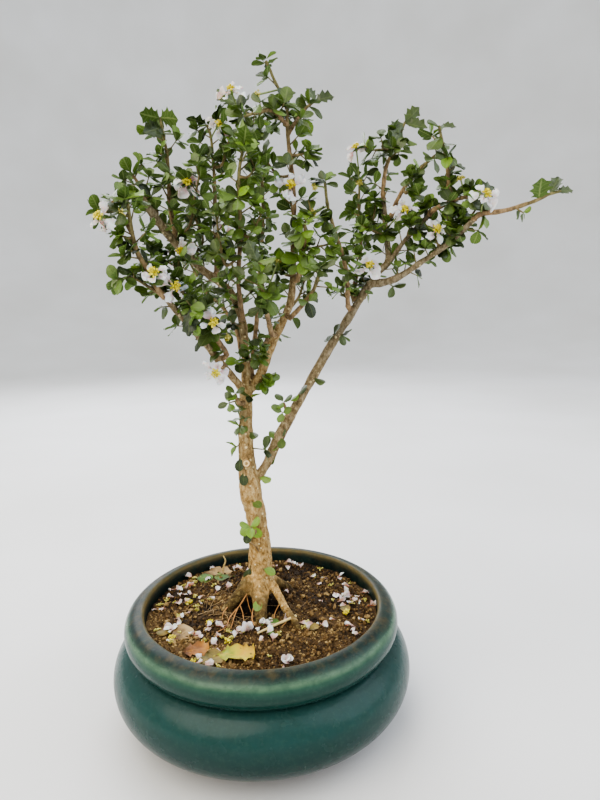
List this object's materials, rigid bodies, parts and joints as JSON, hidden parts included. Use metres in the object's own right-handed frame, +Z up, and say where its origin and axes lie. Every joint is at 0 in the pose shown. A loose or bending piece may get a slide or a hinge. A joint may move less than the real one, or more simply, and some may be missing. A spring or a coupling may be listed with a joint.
{
  "type": "dwarf holly bonsai in a pot",
  "caption": "Dwarf holly bonsai with spreading surface roots, a slim curved trunk, small glossy leaves and white flowers, in a low round glazed pot with a rolled rim.",
  "frame": {"origin": "on the table, under the middle of the bounding box of the whole object; the pot's axis stands 35 mm from it towards -X", "axes": "+Z up along the trunk, +X to the right of the picture's view towards the long right-hand arm, +Y away from the viewer"},
  "size_m": [0.2208, 0.15, 0.3149],
  "materials": {
    "bark": "pale tan bark with raised lenticels",
    "leaf": "small leathery green leaves, glossy above, on green-brown shoots",
    "petal": "thin crumpled white petals, faintly pink",
    "stamen": "matt yellow anthers",
    "glaze": "teal stoneware glaze, bare brown clay foot",
    "grit": "coarse brown bonsai grit",
    "screen": "black plastic drain mesh",
    "fallen_yellow": "fallen yellow spined leaf",
    "fallen_brown": "fallen orange-brown leaf"
  },
  "bodies": {
    "root": {"drain_screen": "screen", "fallen_leaf_brown": "fallen_brown", "fallen_leaf_yellow": "fallen_yellow", "leaves_arm_tip": "leaf", "leaves_back_left": "leaf", "leaves_back_right": "leaf", "leaves_back_upright": "leaf", "leaves_crown": "leaf", "leaves_crown_left": "leaf", "leaves_fork_leaves": "leaf", "leaves_front_low": "leaf", "leaves_front_mid": "leaf", "leaves_inner": "leaf", "leaves_leader_tip": "leaf", "leaves_left_low": "leaf", "leaves_left_mid": "leaf", "leaves_left_top": "leaf", "leaves_left_under": "leaf", "leaves_limb_leaves": "leaf", "leaves_mid_front": "leaf", "leaves_mid_right": "leaf", "leaves_reach_tip": "leaf", "leaves_rise_tip": "leaf", "leaves_trunk_leaves": "leaf", "leaves_upright": "leaf", "petals_00": "petal", "petals_01": "petal", "petals_02": "petal", "petals_03": "petal", "petals_04": "petal", "petals_05": "petal", "petals_06": "petal", "petals_07": "petal", "petals_08": "petal", "petals_09": "petal", "petals_10": "petal", "petals_11": "petal", "petals_12": "petal", "petals_13": "petal", "petals_14": "petal", "petals_15": "petal", "pot": "glaze", "soil": "grit", "stamens_00": "stamen", "stamens_01": "stamen", "stamens_02": "stamen", "stamens_03": "stamen", "stamens_04": "stamen", "stamens_05": "stamen", "stamens_06": "stamen", "stamens_07": "stamen", "stamens_08": "stamen", "stamens_09": "stamen", "stamens_10": "stamen", "stamens_11": "stamen", "stamens_12": "stamen", "stamens_13": "stamen", "stamens_14": "stamen", "stamens_15": "stamen", "tree": "bark"}
  },
  "joints": []
}
